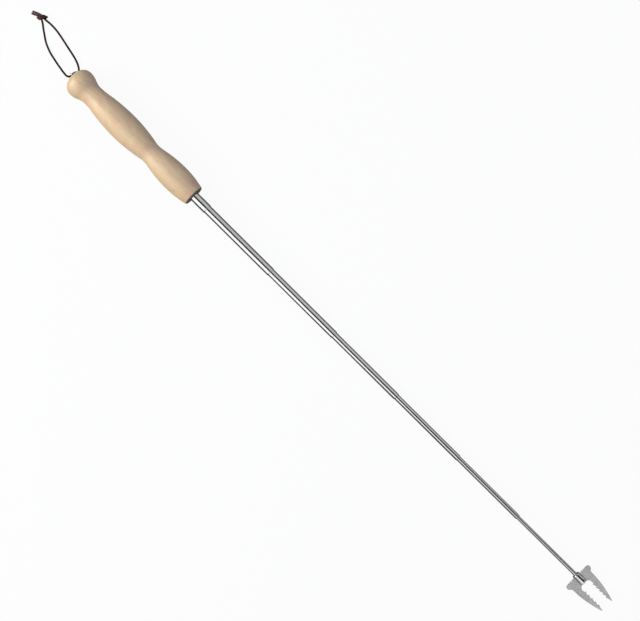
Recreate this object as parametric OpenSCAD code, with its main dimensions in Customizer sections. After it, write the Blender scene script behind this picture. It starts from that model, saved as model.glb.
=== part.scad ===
// Telescopic roasting fork: a turned beech handle, six nested steel tubes and a solid rod that pull out of
// it one after another, a two-tine fork held in a slotted socket, and a leather thong to hang it by.
// All sizes are in millimetres. The long axis is X, with the points towards +X. The origin is the centre of
// the handle's front face, where the steel leaves the wood. Everything is drawn pulled fully out.

/* [Handle, lengths from the rear end] */
// From the rear end to the widest part of the knob
knob_run = 13; // [11:0.5:16]
// From the knob to the neck in front of it
neck_run = 19; // [16:0.5:23]
// From the neck to the widest part of the long swell
swell_run = 50; // [42:1:60]
// From the long swell to the waist
waist_run = 44; // [37:1:53]
// From the waist to the widest part of the front swell
front_run = 40; // [34:1:48]
// From the front swell to the front face
mouth_run = 30; // [25:1:36]

/* [Handle, diameters] */
// Diameter of the knob
knob_d = 34.5; // [30:0.5:42]
// Diameter of the neck
neck_d = 25.8; // [23:0.2:30]
// Diameter of the long swell
swell_d = 34.2; // [30:0.2:41]
// Diameter of the waist
waist_d = 25; // [22:0.2:29]
// Diameter of the front swell
front_swell_d = 33; // [29:0.2:40]
// Diameter at the front face, before its edge is broken
mouth_d = 26; // [23:0.2:30]
// Width of the broken edge round the front face
mouth_chamfer = 0.9; // [0.5:0.1:1.5]

/* [Telescope, cross section] */
// Diameter of the solid rod at the front
rod_d = 4.6; // [3.8:0.1:5.6]
// Space between the rod and the bore of the tube around it
rod_gap = 0.45; // [0.35:0.05:0.55]
// Wall of every tube
tube_wall = 0.3; // [0.25:0.05:0.4]
// Space between each tube and the bore of the tube around it
tube_gap = 0.25; // [0.2:0.05:0.35]
// Radius of the rolled front edge of every tube
tube_roll = 0.4; // [0.3:0.05:0.5]
// Length of the rolled lip inside the front end of every tube
lip_len = 0.8; // [0.6:0.1:1.2]

/* [Telescope, lengths] */
// Outer tube showing in front of the handle
stub_len = 21.5; // [17:0.5:27]
// Second section showing when it is pulled out
show_2 = 102.5; // [85:0.5:124]
// Third section showing when it is pulled out
show_3 = 102.5; // [85:0.5:124]
// Fourth section showing when it is pulled out
show_4 = 100.5; // [83:0.5:121]
// Fifth section showing when it is pulled out
show_5 = 100; // [83:0.5:120]
// Sixth section showing when it is pulled out
show_6 = 96; // [80:0.5:116]
// Rod showing between the sixth section and the socket
show_7 = 93; // [77:0.5:112]
// Length of each stop collar
collar_len = 3.5; // [2.5:0.1:5]
// Length of each grip spring
spring_len = 8; // [6:0.5:11]
// Solid band at the front of each grip spring
spring_band = 1.6; // [1.2:0.1:2.2]
// Width of the slots between the fingers of a grip spring
spring_slot = 0.8; // [0.5:0.1:1]
// Fingers on each grip spring
spring_fingers = 3; // [2:1:4]
// Length of the flared rear end that keeps the grip spring on
flare_len = 0.6; // [0.4:0.1:1]

/* [Fork] */
// Diameter of the socket on the end of the rod
socket_d = 9.2; // [7.6:0.2:11]
// Length of the socket
socket_len = 13.4; // [11.5:0.1:16]
// Rounding of the socket's rear edge
socket_round = 1.1; // [0.6:0.1:1.4]
// Rounding of the socket's front edge
socket_nose = 1; // [0.5:0.1:1.3]
// Depth that the rod goes into the socket
rod_seat = 7; // [5.8:0.2:8.4]
// Solid collar of the socket behind its slot
slot_setback = 2; // [1.5:0.1:2.6]
// Thickness of the fork's sheet
plate_t = 1.5; // [1.2:0.1:2]
// Length of the fork from its straight rear edge to its points
plate_len = 49; // [42:0.2:58]
// Width across the rounded shoulders
shoulder_w = 36.8; // [34:0.2:43]
// Radius of the shoulders
shoulder_r = 3.2; // [2.6:0.1:3.8]
// Width over the outer edges where the tines start
root_w = 29.8; // [27:0.2:32]
// Width over the outer edges at the points
tip_w = 16.4; // [16:0.2:19]
// Width of each blunt point
tip_blunt = 0.8; // [0.5:0.1:1]
// Width of the gap between the tines, between the bottoms of the teeth
gap_w = 14.4; // [12.6:0.2:15]
// Corner radius at the bottom of the gap
gap_corner = 5.2; // [4:0.1:6.2]
// Space between the socket and the bottom of the gap
throat = 0.4; // [0.2:0.1:1]
// Distance from one tooth to the next
tooth_pitch = 5.3; // [4.4:0.1:6.4]
// Height of the teeth
tooth_h = 1.6; // [1.2:0.1:2]
// From the bottom of the gap to the first tooth
first_tooth = 8.3; // [7:0.1:10]

/* [Eye and thong] */
// Thickness of the wire that the eye is bent from
wire_d = 1.4; // [1.1:0.1:1.8]
// Length of the eye's legs
leg_len = 14; // [11:0.5:17]
// Diameter of the leather thong
thong_d = 2.4; // [2:0.1:2.9]

/* [Hidden] */
$fn = 96;

// Clearances
glue_gap = 0.05;   // glue film between the outer tube and the wood
crimp_gap = 0.02;  // a collar, spring, rod end or sheet in its seat
slide_play = 0.03; // a collar, spring or flare in the bore that it slides in
lip_play = 0.05;   // a section in the rolled lip that it slides through
stop_gap = 0.2;    // a collar before the lip that stops it
part_gap = 0.2;    // lengthways between the collar, the spring and the flare
rear_room = 4;     // free tube behind the longest section when it is pushed home
eye_play = 0.2;    // the thong in the eye, and the thong on the wood below it
cut = 1;           // how far a cutter runs past the face that it opens

// Handle stations, measured from the rear end
handle_len = knob_run + neck_run + swell_run + waist_run + front_run + mouth_run;
knob_at = [knob_run, knob_d / 2];
neck_at = knob_at + [neck_run, neck_d / 2 - knob_d / 2];
swell_at = [neck_at.x + swell_run, swell_d / 2];
waist_at = [swell_at.x + waist_run, waist_d / 2];
front_at = [waist_at.x + front_run, front_swell_d / 2];
mouth_at = [handle_len, mouth_d / 2];
// Part of each wave of the outline that its rear arc takes, the rest is for its front arc
knob_to_neck = 0.52;
neck_to_swell = 0.24;
swell_to_waist = 0.92;
waist_to_front = 0.22;
// 1 would end the knob in a plain ellipse, and less makes it squarer
knob_power = 0.9;
outline_steps = 10;

// Telescope
sections = 7;
shows = [0, stub_len, show_2, show_3, show_4, show_5, show_6, show_7];
longest = max(show_2, show_3, show_4, show_5, show_6, show_7);
overlap = lip_len + stop_gap + collar_len + part_gap + spring_len + part_gap + flare_len;
tube_1_len = longest + overlap + rear_room;
mouth_sink = 1.5;    // depth of the countersink in the handle's mouth
bead_set = 0.5;      // from the handle's front face back to the outer tube's bead
bead_len = 0.7;
bead_height = 0.3;
roll_steps = 4;

// Thong. Its points are measured from the rear end of the handle, on the handle's axis. It leaves the eye
// both ways along Y and comes down to the surface that the fork lies on, 21 mm below the axis there.
thong_sides = 8;
thong_left_route = [
    [-1.4, 0, 0], [-1.6, -2.0, 0], [-3.0, -4.0, -0.4], [-5.6, -5.0, -1.4], [-9, -4.9, -3.0],
    [-14, -4.5, -6.0], [-19, -3.8, -9.4], [-25, -3.0, -13.0], [-31, -2.0, -16.0], [-37, -0.8, -17.95],
    [-43, 0.6, -18.8], [-49, 2.8, -19.1], [-55, 5.6, -19.25], [-60, 8.8, -19.35], [-65, 12.3, -19.45],
    [-70, 15.9, -19.5], [-73.5, 18.7, -19.2], [-77, 20.9, -18.2]
];
thong_right_route = [
    [-1.4, 0, 0], [-1.4, 1.4, 0], [-1.3, 3.6, -0.7], [-1.1, 5.3, -2.5], [-0.8, 6.0, -4.9],
    [-0.6, 6.3, -7.4], [-0.9, 7.0, -9.8], [-2.0, 8.2, -12.0], [-4.0, 9.9, -14.1], [-7.0, 11.8, -16.0],
    [-11, 13.7, -17.4], [-16, 15.5, -18.2], [-22, 17.1, -18.55], [-29, 18.6, -18.75], [-36, 20.1, -18.9],
    [-43, 21.7, -19.0], [-50, 23.1, -19.15], [-57, 24.1, -19.3], [-63, 24.5, -19.4], [-69, 24.3, -19.4],
    [-73, 23.9, -19.1], [-77, 23.6, -18.2]
];
knot_lumps = [[-76.6, 25.2, -17.6], [-79.0, 20.6, -17.6], [-80.8, 22.9, -17.7]];
knot_lump_r = [3.2, 3.0, 3.0];
knot_tail_left = [[-80, 21.6, -17.8], [-83.6, 20.9, -18.4], [-86.8, 19.6, -19.4], [-90.8, 18.0, -19.9]];
knot_tail_right = [[-80, 24.1, -17.8], [-84.4, 23.2, -18.4], [-87.6, 22.0, -19.4], [-91.6, 20.4, -19.9]];
knot_fn = 20;

// Bore diameter of the tube with this outside diameter
function bore_of(d) = d - 2 * tube_wall;

// Outside diameter of section k: the rod is the seventh, and each tube goes round the one before it
function section_d(k) =
    k == sections ? rod_d
    : section_d(k + 1) + 2 * tube_wall + 2 * (k == sections - 1 ? rod_gap : tube_gap);

// Front end of section k when everything is pulled out
function front_x(k) = k == 0 ? 0 : front_x(k - 1) + shows[k];

// Length of section k
function section_len(k) =
    k == 1 ? tube_1_len : shows[k] + overlap + (k == sections ? rod_seat : 0);

// Points along an arc, angles in degrees
function arc(centre, r, from, to, steps) =
    [for (i = [0:steps]) let (a = from + (to - from) * i / steps) centre + r * [cos(a), sin(a)]];

// Two arcs that meet smoothly, from point a to point b, both level at their ends. The first one takes
// the given share of the wave. The starting point itself is left out.
function wave(a, b, share, steps) =
    let (
        run = b.x - a.x,
        turn = 2 * atan(abs(b.y - a.y) / run),
        r = run / sin(turn),
        r_a = r * share,
        r_b = r * (1 - share),
        way = sign(b.y - a.y)
    )
    concat(
        [for (i = [1:steps]) let (t = turn * i / steps) a + r_a * [sin(t), way * (1 - cos(t))]],
        [for (i = [1:steps]) let (t = turn * (1 - i / steps)) b - r_b * [sin(t), way * (1 - cos(t))]]
    );

// One arc that starts level at point a and falls to point b
function fall(a, b, steps) =
    let (
        run = b.x - a.x,
        drop = a.y - b.y,
        r = (run * run + drop * drop) / (2 * drop),
        turn = asin(run / r)
    )
    [for (i = [1:steps]) let (t = turn * i / steps) a + r * [sin(t), cos(t) - 1]];

// Round shape along X, drawn as [radius, place along X]
module turned() {
    rotate([0, 90, 0]) rotate_extrude() children();
}

module bar(d, from, to) {
    translate([from, 0, 0]) rotate([0, 90, 0]) cylinder(h = to - from, d = d);
}

// Outline of the handle as [place, radius] from the rear end
handle_outline = concat(
    [for (i = [0:outline_steps]) let (t = 90 * i / outline_steps)
        [knob_run * (1 - pow(cos(t), knob_power)), knob_d / 2 * pow(sin(t), knob_power)]],
    wave(knob_at, neck_at, knob_to_neck, outline_steps),
    wave(neck_at, swell_at, neck_to_swell, outline_steps),
    wave(swell_at, waist_at, swell_to_waist, outline_steps),
    wave(waist_at, front_at, waist_to_front, outline_steps),
    fall(front_at, mouth_at - [mouth_chamfer, 0], outline_steps),
    [mouth_at - [0, mouth_chamfer], [handle_len, 0]]
);

module handle() {
    seat_d = section_d(1) + 2 * glue_gap;
    color("burlywood") difference() {
        translate([-handle_len, 0, 0]) turned() polygon([for (p = handle_outline) [p.y, p.x]]);
        bar(seat_d, stub_len - tube_1_len - glue_gap, cut);
        translate([-mouth_sink, 0, 0]) rotate([0, 90, 0])
            cylinder(h = mouth_sink + cut, d1 = seat_d, d2 = seat_d + 2 * (mouth_sink + cut));
        for (side = [-1, 1])
            translate([0, 0, side * eye_r])
                bar(wire_d + 2 * crimp_gap, -handle_len - cut, eye_x + leg_len + cut);
    }
}

// Eye: a staple with its two legs driven into the rear end, one above the other
eye_r = thong_d / 2 + eye_play + wire_d / 2;
eye_x = -handle_len - thong_d / 2 - eye_play;
leg_point = 2 * wire_d;

module cord_eye() {
    color("gainsboro") {
        translate([eye_x, 0, 0]) rotate([0, -90, 0]) rotate([90, 0, 0])
            rotate_extrude(angle = 180) translate([eye_r, 0]) circle(d = wire_d);
        for (side = [-1, 1])
            translate([0, 0, side * eye_r]) {
                bar(wire_d, eye_x, eye_x + leg_len - leg_point);
                translate([eye_x + leg_len - leg_point, 0, 0]) rotate([0, 90, 0])
                    cylinder(h = leg_point, d1 = wire_d, d2 = wire_d / 4);
            }
    }
}

// Bead round the outer tube just inside the handle's front face. It stops the tube in the countersink.
function seat_bead(r) =
    let (front = -stub_len - bead_set, rear = front - bead_len)
    [[r, front], [r + bead_height, front], [r + bead_height, rear], [r, rear]];

// Tube k: rolled inwards at the front, flared at the rear unless it is the outer one
module tube(k) {
    r_out = section_d(k) / 2;
    r_bore = bore_of(section_d(k)) / 2;
    r_lip = section_d(k + 1) / 2 + lip_play;
    len = section_len(k);
    rear = k == 1 ? concat(seat_bead(r_out), [[r_out, -len]])
        : let (r_flare = bore_of(section_d(k - 1)) / 2 - slide_play)
            [[r_out, flare_len - len], [r_flare, flare_len - len], [r_flare, -len]];
    translate([front_x(k), 0, 0]) turned() polygon(concat(
        [[r_lip, -lip_len], [r_lip, 0]],
        arc([r_out - tube_roll, -tube_roll], tube_roll, 90, 0, roll_steps),
        rear,
        [[r_bore, -len], [r_bore, -lip_len]]
    ));
}

module steel_tube(k) {
    color("silver") tube(k);
}

// Sleeve on the rear end of section k, in the bore around it, from front to rear of its place
module sleeve(k, front, len) {
    difference() {
        bar(bore_of(section_d(k - 1)) - 2 * slide_play, front - len, front);
        bar(section_d(k) + 2 * crimp_gap, front - len - cut, front + cut);
    }
}

function collar_front(k) = front_x(k - 1) - lip_len - stop_gap;

module stop_collar(k) {
    color("goldenrod") sleeve(k, collar_front(k), collar_len);
}

module grip_spring(k) {
    front = collar_front(k) - collar_len - part_gap;
    color("peru") difference() {
        sleeve(k, front, spring_len);
        for (i = [0:spring_fingers - 1])
            rotate([i * 360 / spring_fingers, 0, 0])
                translate([front - spring_len - cut, -spring_slot / 2, 0])
                    cube([spring_len - spring_band + cut, spring_slot, section_d(1)]);
    }
}

socket_x = front_x(sections);

module rod() {
    r_flare = bore_of(section_d(sections - 1)) / 2 - slide_play;
    rear = socket_x + rod_seat - section_len(sections);
    color("silver") {
        bar(rod_d, rear, socket_x + rod_seat);
        bar(2 * r_flare, rear, rear + flare_len);
    }
}

module fork_socket() {
    r = socket_d / 2;
    r_bore = rod_d / 2 + crimp_gap;
    slot_h = plate_t + 2 * crimp_gap;
    color("whitesmoke") translate([socket_x, 0, 0]) difference() {
        turned() polygon(concat(
            [[r_bore, 0]],
            arc([r - socket_round, socket_round], socket_round, -90, 0, 2 * roll_steps),
            arc([r - socket_nose, socket_len - socket_nose], socket_nose, 0, 90, 2 * roll_steps),
            [[0, socket_len], [0, rod_seat + crimp_gap], [r_bore, rod_seat + crimp_gap]]
        ));
        translate([slot_setback, -r - cut, -slot_h / 2]) cube([socket_len, socket_d + 2 * cut, slot_h]);
    }
}

// Upper half of the fork's outline, from the middle of its rear edge round to the bottom of the gap
gap_from = socket_len - slot_setback + throat;
notch_w = rod_d + 2 * crimp_gap;
notch_len = rod_seat - slot_setback + crimp_gap;
neck_fillet = 1.6;
shoulder_steps = 8;
edge_steps = 14;
neck_x = (shoulder_w - root_w) / 2 + sqrt(2) * (shoulder_r + neck_fillet) - neck_fillet;
tooth_x = gap_from + first_tooth;
teeth = floor((plate_len - tooth_x) / tooth_pitch);
tooth_ramp = 0.85;

half_outline = concat(
    [[notch_len, 0], [notch_len, notch_w / 2], [0, notch_w / 2]],
    arc([shoulder_r, shoulder_w / 2 - shoulder_r], shoulder_r, 180, 45, shoulder_steps),
    arc([neck_x, root_w / 2 + neck_fillet], neck_fillet, 225, 270, roll_steps),
    fall([neck_x, root_w / 2], [plate_len, tip_w / 2], edge_steps),
    [[plate_len, tip_w / 2 - tip_blunt]],
    [for (i = [teeth - 1:-1:0])
        each [
            [tooth_x + (i + tooth_ramp) * tooth_pitch, gap_w / 2],
            [tooth_x + i * tooth_pitch, gap_w / 2 - tooth_h],
            [tooth_x + i * tooth_pitch, gap_w / 2]
        ]],
    arc([gap_from + gap_corner, gap_w / 2 - gap_corner], gap_corner, 90, 180, shoulder_steps),
    [[gap_from, 0]]
);

module fork_plate() {
    lower_half = [for (i = [len(half_outline) - 2:-1:1]) [half_outline[i].x, -half_outline[i].y]];
    color("darkgray") translate([socket_x + slot_setback, 0, -plate_t / 2]) linear_extrude(plate_t)
        polygon(concat(half_outline, lower_half));
}

// Tube swept along points, with its first ring square to the given heading
function unit(v) = v / norm(v);
function heading(p, i, start) =
    i == 0 ? start : unit(i == len(p) - 1 ? p[i] - p[i - 1] : p[i + 1] - p[i - 1]);
function normals(p, start, n, i = 0) =
    i == len(p) ? []
    : let (t = heading(p, i, start), m = unit(n - (n * t) * t)) concat([m], normals(p, start, m, i + 1));

module swept(points, d, start, normal) {
    n = normals(points, start, normal);
    rings = len(points);
    corners = [
        for (i = [0:rings - 1], s = [0:thong_sides - 1])
            let (a = (s + 0.5) * 360 / thong_sides, side = cross(heading(points, i, start), n[i]))
            points[i] + d / 2 * (cos(a) * n[i] + sin(a) * side)
    ];
    walls = [
        for (i = [0:rings - 2], s = [0:thong_sides - 1])
            let (a = i * thong_sides + s, b = i * thong_sides + (s + 1) % thong_sides)
            each [[a, a + thong_sides, b], [b, a + thong_sides, b + thong_sides]]
    ];
    first = [for (s = [0:thong_sides - 1]) s];
    last = [for (s = [thong_sides - 1:-1:0]) (rings - 1) * thong_sides + s];
    polyhedron(corners, concat([first, last], walls));
}

module thong(points, start, normal) {
    color("saddlebrown") translate([-handle_len, 0, 0]) swept(points, thong_d, start, normal);
}

module thong_left() {
    thong(thong_left_route, [0, -1, 0], [0, 0, 1]);
}

module thong_right() {
    thong(thong_right_route, [0, 1, 0], [0, 0, 1]);
}

module thong_knot() {
    thong(knot_tail_left, unit(knot_tail_left[1] - knot_tail_left[0]), [0, 0, 1]);
    thong(knot_tail_right, unit(knot_tail_right[1] - knot_tail_right[0]), [0, 0, 1]);
    color("saddlebrown") translate([-handle_len, 0, 0]) hull()
        for (i = [0:len(knot_lumps) - 1])
            translate(knot_lumps[i]) sphere(r = knot_lump_r[i], $fn = knot_fn);
}

handle();
cord_eye();
steel_tube(1);  // tube_1
steel_tube(2);  // tube_2
steel_tube(3);  // tube_3
steel_tube(4);  // tube_4
steel_tube(5);  // tube_5
steel_tube(6);  // tube_6
rod();
stop_collar(2);  // stop_collar_2
stop_collar(3);  // stop_collar_3
stop_collar(4);  // stop_collar_4
stop_collar(5);  // stop_collar_5
stop_collar(6);  // stop_collar_6
stop_collar(7);  // stop_collar_7
grip_spring(2);  // grip_spring_2
grip_spring(3);  // grip_spring_3
grip_spring(4);  // grip_spring_4
grip_spring(5);  // grip_spring_5
grip_spring(6);  // grip_spring_6
grip_spring(7);  // grip_spring_7
fork_socket();
fork_plate();
thong_left();
thong_right();
thong_knot();
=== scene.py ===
# %% [markdown]
# # A telescopic roasting fork in Blender
# This file builds the looks of a roasting fork: a turned beech handle, steel tubes that pull out of it, a
# flat two-tine fork and a leather thong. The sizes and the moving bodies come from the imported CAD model,
# which is loaded here as a frame. All lengths are in metres, unless a name or comment says millimetres. X
# runs from the handle to the points, Z is up, and the origin is the centre of the handle's front face.

# %% Load the frame
import bpy
import math
from mathutils import Matrix, Vector


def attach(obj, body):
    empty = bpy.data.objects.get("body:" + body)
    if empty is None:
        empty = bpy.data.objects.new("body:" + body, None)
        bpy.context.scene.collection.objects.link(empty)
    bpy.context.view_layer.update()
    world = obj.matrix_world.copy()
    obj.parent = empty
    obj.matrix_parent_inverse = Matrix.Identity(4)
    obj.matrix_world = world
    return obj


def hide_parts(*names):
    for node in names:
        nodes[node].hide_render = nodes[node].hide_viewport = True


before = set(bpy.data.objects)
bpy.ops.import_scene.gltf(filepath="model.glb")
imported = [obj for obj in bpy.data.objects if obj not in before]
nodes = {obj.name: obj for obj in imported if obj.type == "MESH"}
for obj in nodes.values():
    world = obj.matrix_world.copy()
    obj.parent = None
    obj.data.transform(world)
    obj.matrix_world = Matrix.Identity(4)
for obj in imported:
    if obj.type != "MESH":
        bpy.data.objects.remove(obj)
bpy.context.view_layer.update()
MM = 0.001

# %% [markdown]
# ## The camera
# The fork was photographed from straight above, lying from the upper left to the lower right of the
# picture. A camera can be aimed with angles, but here it is simpler to write its axes: the picture's right
# and up directions are found in the fork's own frame, and the third axis follows from them. The lens comes
# from the camera's height and from the width that the picture covers at the height of the steel tubes.

# %% Camera
PICTURE_WIDTH = 640
MM_PER_PIXEL = 1.147
SENSOR_WIDTH = 36
CAMERA_HEIGHT = 1.365
CAMERA_REACH = 20
CENTRE = Vector((0.19485, 0.0086, 0))
TOOL_IN_PICTURE = Vector((0.71002, 0.70419))

right = Vector((TOOL_IN_PICTURE.x, TOOL_IN_PICTURE.y, 0))
up = Vector((-TOOL_IN_PICTURE.y, TOOL_IN_PICTURE.x, 0))
aim = Matrix((right, up, right.cross(up))).transposed().to_4x4()
camera_data = bpy.data.cameras.new("camera_above")
camera_data.sensor_width = SENSOR_WIDTH
camera_data.lens = SENSOR_WIDTH * CAMERA_HEIGHT / (PICTURE_WIDTH * MM_PER_PIXEL * MM)
camera_data.clip_end = CAMERA_REACH
camera = bpy.data.objects.new("camera_above", camera_data)
camera.matrix_world = Matrix.Translation(CENTRE + Vector((0, 0, CAMERA_HEIGHT))) @ aim
bpy.context.scene.collection.objects.link(camera)
bpy.context.scene.camera = camera
print("lens in mm:", round(camera_data.lens, 1))

# %% [markdown]
# ## The leather thong
# One lace of dark leather goes through the wire eye at the end of the handle. Its two strands fall to the
# table and meet in a knot. A lace could be simulated, but its curve is known from the photograph, so each
# strand is a smooth curve through listed points with a round bevel. The points are measured in millimetres
# from the rear end of the handle. Both strands start face to face in the middle of the eye.

# %% Strand points
HANDLE_LENGTH = 0.196
THONG_D = 0.0024

LEFT_STRAND = [
    (-1.4, 0, 0), (-1.6, -2.0, 0), (-3.0, -4.0, -0.4), (-5.6, -5.0, -1.4), (-9, -4.9, -3.0),
    (-14, -4.5, -6.0), (-19, -3.8, -9.4), (-25, -3.0, -13.0), (-31, -2.0, -16.0), (-37, -0.8, -17.95),
    (-43, 0.6, -18.8), (-49, 2.8, -19.1), (-55, 5.6, -19.25), (-60, 8.8, -19.35), (-65, 12.3, -19.45),
    (-70, 15.9, -19.5), (-73.5, 18.7, -19.2), (-77, 20.9, -18.2),
]
RIGHT_STRAND = [
    (-1.4, 0, 0), (-1.4, 1.4, 0), (-1.3, 3.6, -0.7), (-1.1, 5.3, -2.5), (-0.8, 6.0, -4.9),
    (-0.6, 6.3, -7.4), (-0.9, 7.0, -9.8), (-2.0, 8.2, -12.0), (-4.0, 9.9, -14.1), (-7.0, 11.8, -16.0),
    (-11, 13.7, -17.4), (-16, 15.5, -18.2), (-22, 17.1, -18.55), (-29, 18.6, -18.75), (-36, 20.1, -18.9),
    (-43, 21.7, -19.0), (-50, 23.1, -19.15), (-57, 24.1, -19.3), (-63, 24.5, -19.4), (-69, 24.3, -19.4),
    (-73, 23.9, -19.1), (-77, 23.6, -18.2),
]
LEFT_TAIL = [
    (-77, 20.9, -18.2), (-80, 21.6, -17.8), (-83.6, 20.9, -18.4), (-86.8, 19.6, -19.4), (-90.8, 18.0, -19.9),
]
RIGHT_TAIL = [
    (-77, 23.6, -18.2), (-80, 24.1, -17.8), (-84.4, 23.2, -18.4), (-87.6, 22.0, -19.4), (-91.6, 20.4, -19.9),
]


def from_rear_end(points):
    """Points in millimetres from the rear end of the handle, as vectors in the fork's frame."""
    return [Vector(p) * MM - Vector((HANDLE_LENGTH, 0, 0)) for p in points]


print("points on the strands:", len(LEFT_STRAND), "and", len(RIGHT_STRAND))


# %% A smooth round curve
ROUND_STEPS = 6
CURVE_STEPS = 8


def round_curve(name, runs):
    """A curve object with one smooth open spline for each (points, diameter) pair, of a round section.

    The bevel is 1 m deep, so that the radius of each point is the real radius in metres.
    """
    data = bpy.data.curves.new(name, "CURVE")
    data.dimensions = "3D"
    data.bevel_depth = 1.0
    data.bevel_resolution = ROUND_STEPS
    data.resolution_u = CURVE_STEPS
    data.use_fill_caps = True
    for points, diameter in runs:
        spline = data.splines.new("BEZIER")
        spline.bezier_points.add(len(points) - 1)
        for control, place in zip(spline.bezier_points, points):
            control.co = place
            control.radius = diameter / 2
            control.handle_left_type = control.handle_right_type = "AUTO"
    piece = bpy.data.objects.new(name, data)
    bpy.context.scene.collection.objects.link(piece)
    return piece


left_strand = round_curve("thong_left_strand", [(from_rear_end(LEFT_STRAND), THONG_D)])
right_strand = round_curve("thong_right_strand", [(from_rear_end(RIGHT_STRAND), THONG_D)])
print("strands:", left_strand.name, right_strand.name)

# %% [markdown]
# The two strands go side by side through the knot and leave it as two short tails. The lace is also wound
# round the pair, which gives the slanting turns that show on top. A knot can be drawn point by point, but
# turns are easier to write as a helix: a flat oval that moves along the pair. The middle of the knot is
# lifted off the table, because the turns also pass below it.

# %% Knot
WOUND_D = 0.0021
TURNS = 3
TURN_STEPS = 14
KNOT_FRONT = Vector((-76.2, 23.3, -17.7))
KNOT_REAR = Vector((-80.7, 22.3, -17.9))
SLANT = Vector((0.43, 0.90, 0)).normalized()
REACH_FRONT, REACH_REAR = 4.7, 3.7
TURN_HEIGHT = 2.25
OVAL_POWER = 0.8


def wound_turns():
    """A helix round the pair. It starts and ends below it."""
    points = []
    steps = TURNS * TURN_STEPS
    for i in range(steps + 1):
        share = i / steps
        angle = 2 * math.pi * i / TURN_STEPS - math.pi / 2
        reach = REACH_FRONT + (REACH_REAR - REACH_FRONT) * share
        middle = KNOT_FRONT.lerp(KNOT_REAR, share)
        across = reach * math.copysign(abs(math.cos(angle)) ** OVAL_POWER, math.cos(angle))
        points.append(middle + SLANT * across + Vector((0, 0, TURN_HEIGHT * math.sin(angle))))
    return from_rear_end(points)


knot = round_curve("thong_knot_tied", [
    (wound_turns(), WOUND_D),
    (from_rear_end(LEFT_TAIL), THONG_D),
    (from_rear_end(RIGHT_TAIL), THONG_D),
])
print("turns in the knot:", TURNS)


# %% Ride and replace the thong
def length_of(points):
    return sum((b - a).length for a, b in zip(points, points[1:]))


for piece, node, points in (
    (left_strand, "thong_left", from_rear_end(LEFT_STRAND)),
    (right_strand, "thong_right", from_rear_end(RIGHT_STRAND)),
):
    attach(piece, "grip")
    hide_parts(node)
    length_of(points)
    print(piece.name, "is", round(length_of(points) / MM, 1), "mm long")
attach(knot, "grip")
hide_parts("thong_knot")

# %% [markdown]
# ## Shader maths
# Procedural materials are sums of noise and gradients, and wiring their Math nodes by hand is slow to read.
# One small class wraps a node's output, so that ordinary Python operators add the Math nodes. A second one
# holds a node tree. Its add method makes every other node, and colours are mixed by its blend method.

# %% Socket class
class Wire:
    """One output socket of a node. Operators on it add Math nodes to its tree."""

    def __init__(self, tree, socket):
        self.tree = tree
        self.socket = socket

    def math(self, operation, *others):
        values = dict(enumerate((self, *others)))
        return self.tree.add("ShaderNodeMath", {"operation": operation}, values)

    def __add__(self, other):
        return self.math("ADD", other)

    def __sub__(self, other):
        return self.math("SUBTRACT", other)

    def __mul__(self, other):
        return self.math("MULTIPLY", other)

    def __truediv__(self, other):
        return self.math("DIVIDE", other)

    __radd__ = __add__
    __rmul__ = __mul__

    def __rsub__(self, other):
        return self.tree.add("ShaderNodeMath", {"operation": "SUBTRACT"}, {0: other, 1: self})

    def clipped(self):
        return self.tree.add("ShaderNodeClamp", {}, {"Value": self})

    def ramp(self, low, high):
        """0 below low, 1 above high, and smooth between them."""
        return self.tree.add(
            "ShaderNodeMapRange", {"interpolation_type": "SMOOTHSTEP"},
            {"Value": self, "From Min": low, "From Max": high},
        )


# %% Node tree class
class NodeTree:
    """The nodes of one material or world."""

    def __init__(self, owner, empty=False):
        owner.use_nodes = True
        self.nodes = owner.node_tree.nodes
        self.links = owner.node_tree.links
        if empty:
            self.nodes.clear()

    def fill(self, socket, value):
        """Links a wire to an input socket, or sets the socket's own value."""
        if isinstance(value, Wire):
            self.links.new(value.socket, socket)
        elif socket.type == "RGBA":
            socket.default_value = (*value, 1)
        else:
            socket.default_value = value

    def add(self, kind, settings, inputs, output=0):
        """Adds a node: its settings first, then values or links for its inputs. Gives one of its outputs."""
        made = self.nodes.new(kind)
        for name, value in settings.items():
            setattr(made, name, value)
        for name, value in inputs.items():
            self.fill(made.inputs[name], value)
        return Wire(self, made.outputs[output])

    def blend(self, mask, low, high):
        """The colour low where mask is 0, and high where it is 1."""
        return self.add("ShaderNodeMix", {"data_type": "RGBA"}, {0: mask, 6: low, 7: high}, 2)

    def show(self, shader, kind="ShaderNodeOutputMaterial"):
        """Makes this shader the one that Blender renders."""
        self.fill(self.nodes.new(kind).inputs["Surface"], shader)


# %% [markdown]
# A finish is a material with a Principled shader. Three helpers cover nearly everything: the point's own
# coordinates, noise at a scale in metres that can be stretched along the fork, and a blend of two colours
# by a mask. Object coordinates keep every pattern at its real size, and it moves with its piece.

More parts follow.
